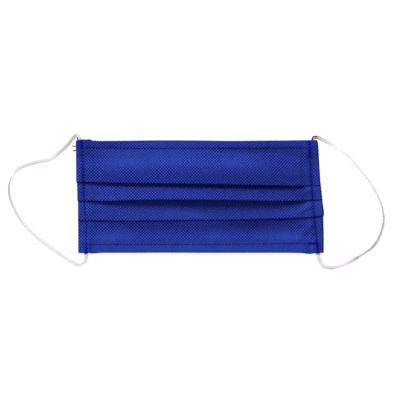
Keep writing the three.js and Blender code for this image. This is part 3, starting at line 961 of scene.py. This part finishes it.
def ruffle(points):
    """The cloth's small unevenness: pressed in along its seams, puckered beside them, and softly
    waved between them."""
    x, y, z = points[..., 0], points[..., 1], points[..., 2]
    press, pucker = np.zeros_like(x), np.zeros_like(x)
    for number, seam in enumerate(SEAMS.values()):
        along, away = beside_seam(seam, x, y)
        beats = 0.75 + 0.25 * np.cos(2 * math.pi * along / STITCH_LENGTH)
        press = np.maximum(press, seam["press"] * beats * np.exp(-((away / PRESS_WIDTH) ** 2)))
        drift = 2.1 * np.sin(along / (7 * MM) + number) + number
        wave = np.sin(2 * math.pi * along / PUCKER_LENGTH + drift)
        pucker = pucker + PUCKER_HEIGHT * (1 + wave) * np.exp(-away / PUCKER_REACH)
    from_sides = np.minimum(x - left_edge(y), right_edge(y) - x)
    near_elastic = step(12 * MM, 9 * MM, from_sides) * step(*ELASTIC_ENDS, np.abs(y))
    press = press * (1 - 0.78 * near_elastic * (z > ELASTIC_THICKNESS))
    waves = WAVE_HEIGHT * (
        np.sin(x / (8.7 * MM) + 1.3 * np.sin(y / (13 * MM)))
        + 0.8 * np.sin(y / (5.1 * MM) + x / (19 * MM) + 1.7)
        + 0.6 * np.sin((x + 1.4 * y) / (6.3 * MM) + 0.4)
        + 2.4
    )
    turned_up = RIM_LIFT * step(-0.0330, -0.0425, y) * step(9 * MM, 16 * MM, from_sides)
    from_edges = np.minimum.reduce([from_sides, TOP_Y - y, y + TOP_Y])
    swell = (waves + soft_spots(SWELLS, "lift", x, y)) * step(0, 12 * MM, from_edges)
    lifted = z * (1 - press) + pucker + turned_up + creased(x, y) + swell
    return np.stack([x, y, np.maximum(lifted, LOWEST)], -1)


def pleated_cloth(material):
    """The folded sheet, and its length along the cloth from the top edge to the bottom."""
    share, turn = sheet_columns()
    y, z, shown, unfolded = sheet_rows(share)
    angle = turn * math.pi / 2
    radius = edge_radius(share[None, :], y)
    deep = from_side(share)[None, :] / WRAP_ZONE
    near = deep < 1
    on_top = radius * (1 - np.cos(angle)) * (turn < 1) + (radius + (WRAP_ZONE - radius) * deep) * (turn >= 1)
    rank = turn * 0.35 + deep * 0.65
    tucked = (radius + TUCK_IN) + (WRAP_ZONE - radius - TUCK_IN) * rank
    inset = np.where(near, shown * on_top + (1 - shown) * tucked, from_side(share)[None, :])
    sunk = np.where(turn < 1, radius * (1 - np.sin(angle)) * shown, 0)
    left, right = left_edge(y) + CLOTH / 2, right_edge(y) - CLOTH / 2
    inset = np.where(near, inset, inset * ((right - left) / WIDTH))
    x = np.where(share < 0.5, left + inset, right - inset)
    whole = left + (right - left) * share
    x = np.where(near, x, np.where(deep < 2, x + (whole - x) * (deep - 1), whole))
    middle = ruffle(np.stack([x, y, z - sunk], -1))
    length = np.linalg.norm(np.diff(middle, axis=0), axis=2).sum(axis=0).max()
    flat = np.stack([x, unfolded, np.zeros_like(y)], -1)
    return placed(cloth_object("pleated_cloth", middle, material, flat), "pleated_sheet"), float(length)


HEM_GAP = 0.3 * MM  # from a side strip to the end of the top or bottom strip
HEM_COLUMNS = 170
HEM_ROWS = 16
HEM_ANGLES = 6
SIDE_ROWS = 150
SIDE_COLUMNS = 14
SIDE_ANGLES = 9
PATTERN_SHIFT = 0.02  # which keeps a strip's dots apart from the sheet's
STEP_OFFSETS = (0.25 * MM, 0.02 * MM, -0.05 * MM, -0.5 * MM)  # rows of a side strip close to each fold


def end_hem(name, node, line_name, way, material):
    """The strip turned back under the top edge (way 1) or the bottom edge (way -1)."""
    start = (HEM_WIDTH + HEM_GAP) / WIDTH
    share = np.linspace(start, 1 - start, HEM_COLUMNS)
    edge = cross_line(line_name, share) - way * CLOTH / 2
    bend = edge - way * FOLD_RADIUS
    raw = edge - way * (HEM_WIDTH - CLOTH / 2)
    rows = [(raw + (bend - raw) * t, np.full_like(share, LOWEST)) for t in np.linspace(0, 1, HEM_ROWS)]
    for angle in np.linspace(-math.pi / 2, 0, HEM_ANGLES)[1:]:
        height = LOWEST + FOLD_RADIUS * (1 + math.sin(angle))
        rows.append((bend + way * FOLD_RADIUS * math.cos(angle), np.full_like(share, height)))
    y, z = (np.stack(part) for part in zip(*rows))
    x = left_edge(y) + (right_edge(y) - left_edge(y)) * share
    middle = ruffle(np.stack([x, y, z], -1))
    if way < 0:
        middle = middle[:, ::-1]
    flat = np.stack([middle[..., 0], middle[..., 1] + PATTERN_SHIFT, np.zeros_like(y)], -1)
    return placed(cloth_object(name, middle, material, flat), node)


def side_hem(name, node, share, edge_at, way, material):
    """The strip turned back under the left side (way -1) or the right side (way 1)."""
    top, bottom = float(cross_line("top", share)), float(cross_line("bottom", share))
    stations = np.linspace(top - CLOTH / 2, bottom + CLOTH / 2, SIDE_ROWS)
    steps = [float(cross_line(fold, share)) + offset for fold in FOLD_NAMES for offset in STEP_OFFSETS]
    y = np.sort(np.concatenate([stations, steps]))[::-1]
    high = shown_height(np.full_like(y, share), y)
    radius = edge_radius(np.full_like(y, share), y)
    edge = edge_at(y) - way * CLOTH / 2
    raw, bend = edge - way * HEM_WIDTH, edge - way * radius
    shares = np.linspace(0, 1, SIDE_COLUMNS)
    columns = [(raw + (bend - raw) * t, np.full_like(y, LOWEST)) for t in shares]
    for angle in np.linspace(-math.pi / 2, 0, SIDE_ANGLES)[1:]:
        rise = (high - radius - LOWEST) * (1 + math.sin(angle))
        columns.append((edge - way * radius * (1 - math.cos(angle)), LOWEST + rise))
    x, z = (np.stack(part, 1) for part in zip(*columns))
    middle = ruffle(np.stack([x, np.broadcast_to(y[:, None], x.shape), z], -1))
    if way > 0:
        middle = middle[:, ::-1]
    flat = np.stack([middle[..., 0] + middle[..., 2], middle[..., 1], np.zeros_like(x)], -1)
    return placed(cloth_object(name, middle, material, flat), node)


# Thread

THREAD_SIDES = 6
STITCH_POINTS = 7
TACK_LANES = (-0.62 * MM, -0.2 * MM, 0.25 * MM, 0.66 * MM)  # their distances from the tack's line
END_STATIONS = 14


def tube(points, radii):
    """Vertices, faces and flat coordinates of a thin tube along points, closed at both ends."""
    points = np.asarray(points, float)
    _, side, up = directions(points)
    angle = np.linspace(0, 2 * math.pi, THREAD_SIDES, endpoint=False)
    ring = side[:, None] * np.cos(angle)[:, None] + up[:, None] * np.sin(angle)[:, None]
    vertices = (points[:, None] + ring * np.asarray(radii)[:, None, None]).reshape(-1, 3)
    flat = np.stack(np.broadcast_arrays(run_along(points)[:, None], angle[None, :], 0.0), -1)
    return vertices, tube_faces(len(points), THREAD_SIDES), flat.reshape(-1, 3)


def joined(name, tubes, material):
    """One piece made of several tubes of thread."""
    vertices, faces, flats, count = [], [], [], 0
    for points, point_faces, flat in tubes:
        vertices.append(points)
        flats.append(flat)
        faces.extend([[i + count for i in face] for face in point_faces])
        count += len(points)
    return placed(make_object(name, np.vstack(vertices), faces, material, np.vstack(flats)))


RAY_HEIGHT = 0.05  # well above everything


def surface_of(thing):
    """A function that gives the height of a thing's top at (x, y), and HEM_TOP beside the thing."""
    mesh = thing.data
    tree = BVHTree.FromPolygons([v.co for v in mesh.vertices], [p.vertices for p in mesh.polygons])

    def height(x, y):
        hit = tree.ray_cast(Vector((x, y, RAY_HEIGHT)), Vector((0, 0, -1)))[0]
        return HEM_TOP if hit is None else hit.z

    return height


def stitch(start, end, height, radius):
    """One stitch, which dips into the cloth at both its ends."""
    points, radii = [], []
    for t in np.linspace(0, 1, STITCH_POINTS):
        x, y = (1 - t) * np.asarray(start) + t * np.asarray(end)
        arch = math.sin(math.pi * t)
        points.append((x, y, height(x, y) + radius * (1.5 * arch**0.6 - 0.9)))
        radii.append(radius * (0.55 + 0.45 * arch**0.5))
    return tube(points, radii)


def sew_seam(name, line, height, material):
    """A row of stitches along a line, each swaying a little from it."""
    line = np.asarray(line, float)
    run = run_along(line)
    count = round(run[-1] / STITCH_LENGTH)
    at = np.linspace(0, run[-1], count + 1)
    path = np.stack([np.interp(at, run, line[:, k]) for k in range(2)], 1)
    made = []
    for i in range(count):
        sway = 0.07 * MM * math.sin(2.3 * i + 0.9)
        start = path[i] + (path[i + 1] - path[i]) * STITCH_GAP + (sway, sway)
        end = path[i + 1] - (path[i + 1] - path[i]) * STITCH_GAP + (-sway, sway)
        made.append(stitch(start, end, height, THREAD_RADIUS))
    return joined(name, made, material)


def sew_tack(name, start, end, height, material):
    """Stitches that run to and fro between two places, in lanes side by side."""
    start, end = np.asarray(start), np.asarray(end)
    length = np.linalg.norm(end - start)
    way = (end - start) / length
    aside = np.array((-way[1], way[0]))
    made = []
    for lane, offset in enumerate(TACK_LANES):
        stitch_length = STITCH_LENGTH * (0.8 + 0.07 * lane)
        at = 0.35 * MM * lane
        while at + stitch_length * 0.6 < length:
            first = start + way * at + aside * offset
            last = first + way * stitch_length * 0.96 - aside * 0.2 * MM
            made.append(stitch(first, last, height, 1.2 * THREAD_RADIUS))
            at += stitch_length
    return joined(name, made, material)


# The loose thread ends, each from where it leaves the cloth: x and y in metres, and z in mm. The last one is
# painted shade: a dark thread laid over the elastic at the upper right corner, along the elastic's shaded
# edge.
THREAD_ENDS = [
    [(-0.0893, 0.0405, 1.6), (-0.0899, 0.0422, 1.5), (-0.0900, 0.0437, 0.9), (-0.0896, 0.0446, 0.4)],
    [(-0.0896, 0.0366, 1.8), (-0.0911, 0.0367, 1.4), (-0.0926, 0.0368, 0.7), (-0.0939, 0.0370, 0.4)],
    [(-0.0896, 0.0342, 1.8), (-0.0911, 0.0338, 1.3), (-0.0924, 0.0336, 0.6), (-0.0934, 0.0333, 0.4)],
    [(-0.0838, -0.0405, 1.3), (-0.0840, -0.0422, 1.0), (-0.0841, -0.0432, 0.5), (-0.0840, -0.0440, 0.4)],
    # Painted shade at the elastic's edge, upper right.
    [(0.0821, 0.0402, 1.9), (0.0824, 0.0422, 1.8), (0.0834, 0.0440, 2.1), (0.0860, 0.0440, 2.3)],
]


def thread_ends_and_shade(material):
    made = []
    for end in THREAD_ENDS:
        line, _ = through([(x, y, z * MM) for x, y, z in end], END_STATIONS)
        made.append(tube(line, np.linspace(1.5, 1.3, END_STATIONS) * THREAD_RADIUS))
    return joined("thread_ends_and_shade", made, material)


# Floor, light and world

FLOOR_SIDE = 3.0
KEY_ZENITH = math.radians(56)
KEY_AZIMUTH = math.radians(118)  # from +X towards +Y
KEY_STRENGTH = 3.68
KEY_SPREAD = math.radians(34)  # how large the light looks, which softens its shadows
SKY_STRENGTH = 0.36


def make_stage():
    half = FLOOR_SIDE / 2
    corners = [(-half, -half, 0), (half, -half, 0), (half, half, 0), (-half, half, 0)]
    floor = make_object("floor", corners, [(0, 1, 2, 3)], floor_material())
    key = bpy.data.lights.new("key", "SUN")
    key.energy = KEY_STRENGTH
    key.angle = KEY_SPREAD
    lamp = bpy.data.objects.new("key", key)
    towards = Vector((
        math.sin(KEY_ZENITH) * math.cos(KEY_AZIMUTH),
        math.sin(KEY_ZENITH) * math.sin(KEY_AZIMUTH),
        math.cos(KEY_ZENITH),
    ))
    lamp.rotation_euler = towards.to_track_quat("Z", "Y").to_euler()
    bpy.context.scene.collection.objects.link(lamp)
    world = bpy.data.worlds.new("studio")
    world.use_nodes = True
    world.node_tree.nodes["Background"].inputs["Color"].default_value = (1, 1, 1, 1)
    world.node_tree.nodes["Background"].inputs["Strength"].default_value = SKY_STRENGTH
    bpy.context.scene.world = world
    bpy.context.scene.view_settings.view_transform = "Standard"


# The object

make_camera()
elastic = elastic_material()
ear_loop("ear_loop_left", "left_ear_loop", LEFT_ROUTE, elastic)
ear_loop("ear_loop_right", "right_ear_loop", RIGHT_ROUTE, elastic)

blue = cloth_material()
sheet, cut_length = pleated_cloth(blue)
hems = [
    end_hem("hem_top", "top_hem", "top", 1, blue),
    end_hem("hem_bottom", "bottom_hem", "bottom", -1, blue),
    side_hem("hem_left", "left_side_hem", 0.0, left_edge, -1, blue),
    side_hem("hem_right", "right_side_hem", 1.0, right_edge, 1, blue),
]

surface = surface_of(sheet)
threads = {name: thread_material(name, colour) for name, colour in THREAD_COLOURS.items()}
for name, row in SEAMS.items():
    sew_seam(name, row["line"], surface, threads[row["thread"]])
for name, row in TACKS.items():
    sew_tack(name, row["start"], row["end"], surface, threads["bright_blue_thread"])
thread_ends_and_shade(threads["loose_thread_and_shade"])

make_stage()
